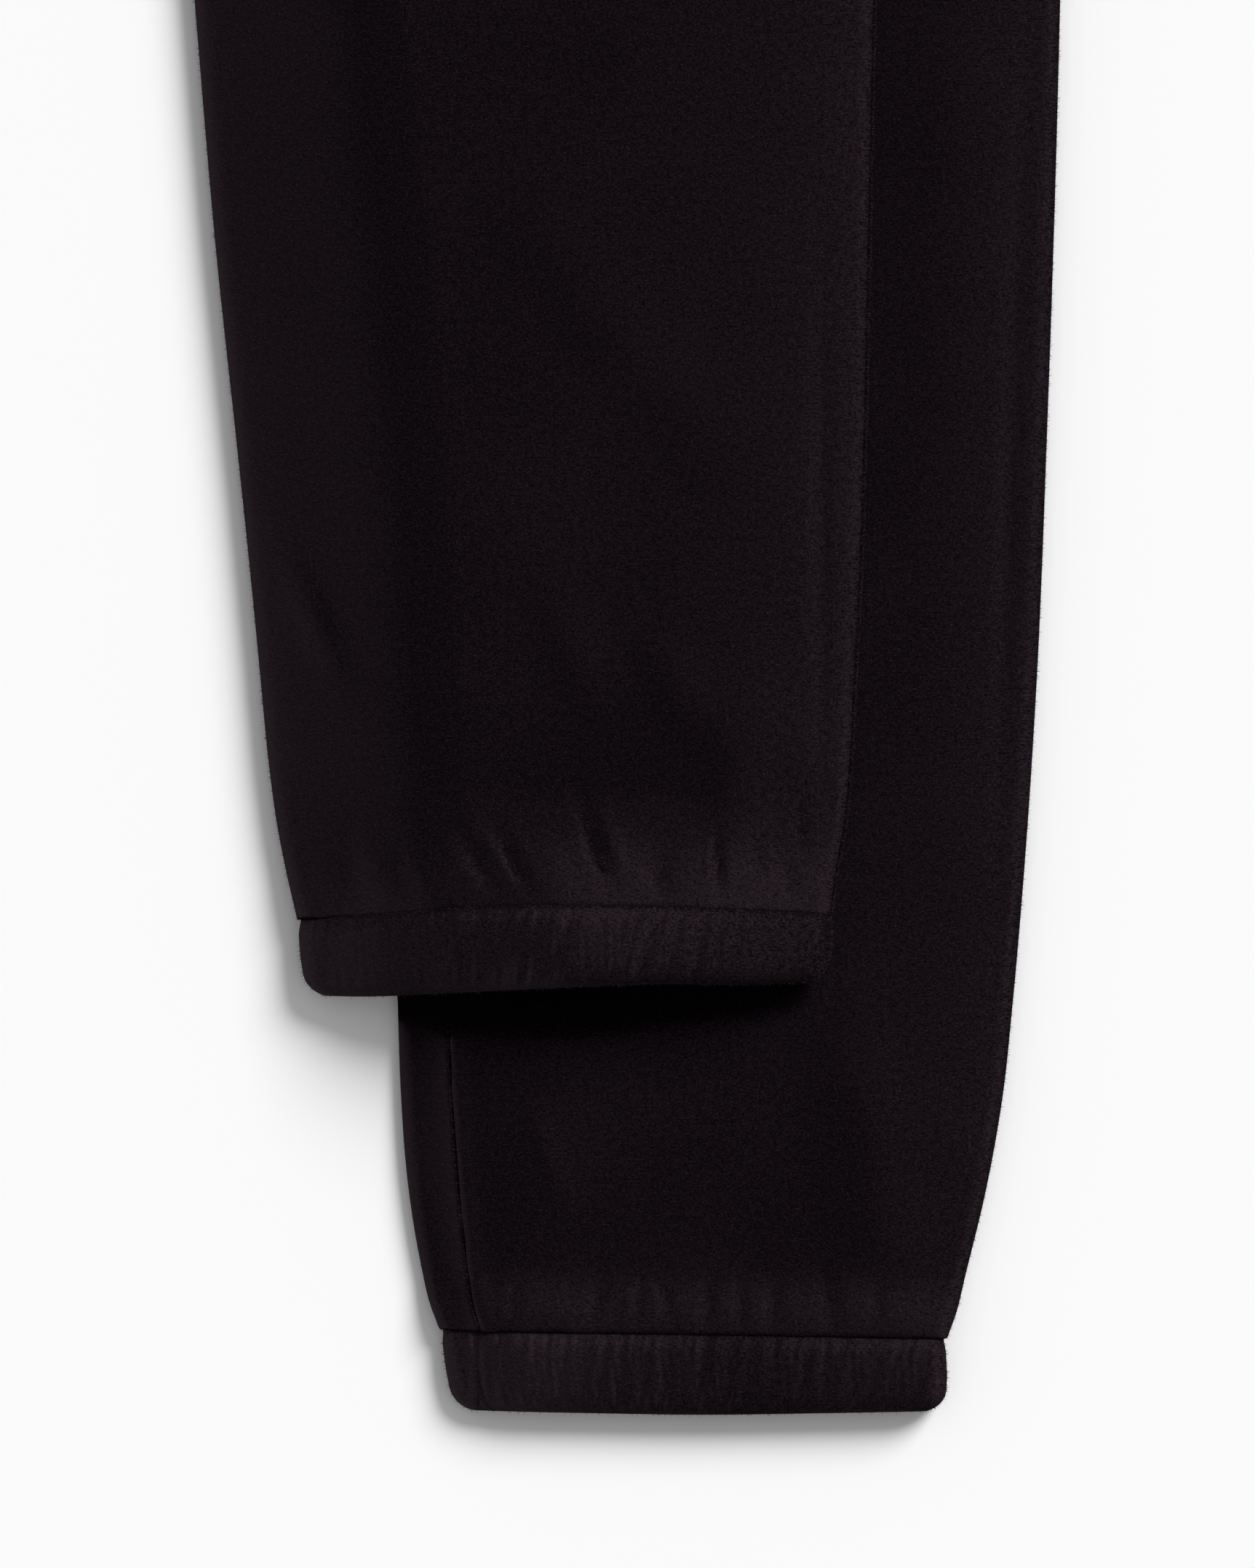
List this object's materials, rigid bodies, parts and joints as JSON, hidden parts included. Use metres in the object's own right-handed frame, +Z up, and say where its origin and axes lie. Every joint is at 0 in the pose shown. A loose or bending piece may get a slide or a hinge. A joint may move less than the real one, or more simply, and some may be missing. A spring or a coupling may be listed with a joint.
{
  "type": "jogger sweatpants",
  "caption": "Fleece jogger sweatpants with elastic cuffs and waistband, folded in half lengthwise and laid flat, one leg drawn up over the other.",
  "frame": {"origin": "middle of the bounding box, on the surface that the garment lies on", "axes": "+Z up from the surface, +Y from the hems to the waist, +X from the folded centre seam to the outseams"},
  "size_m": [0.2972, 1.0204, 0.0351],
  "materials": {
    "fleece": "black brushed polyester fleece, matt, short soft nap",
    "fleece_casing": "the same black fleece, folded double over flat elastic and gathered"
  },
  "bodies": {
    "root": {"back_left": "fleece", "front_left": "fleece", "front_right": "fleece", "back_right": "fleece", "cuff_left": "fleece_casing", "cuff_right": "fleece_casing", "waistband": "fleece_casing"}
  },
  "joints": []
}
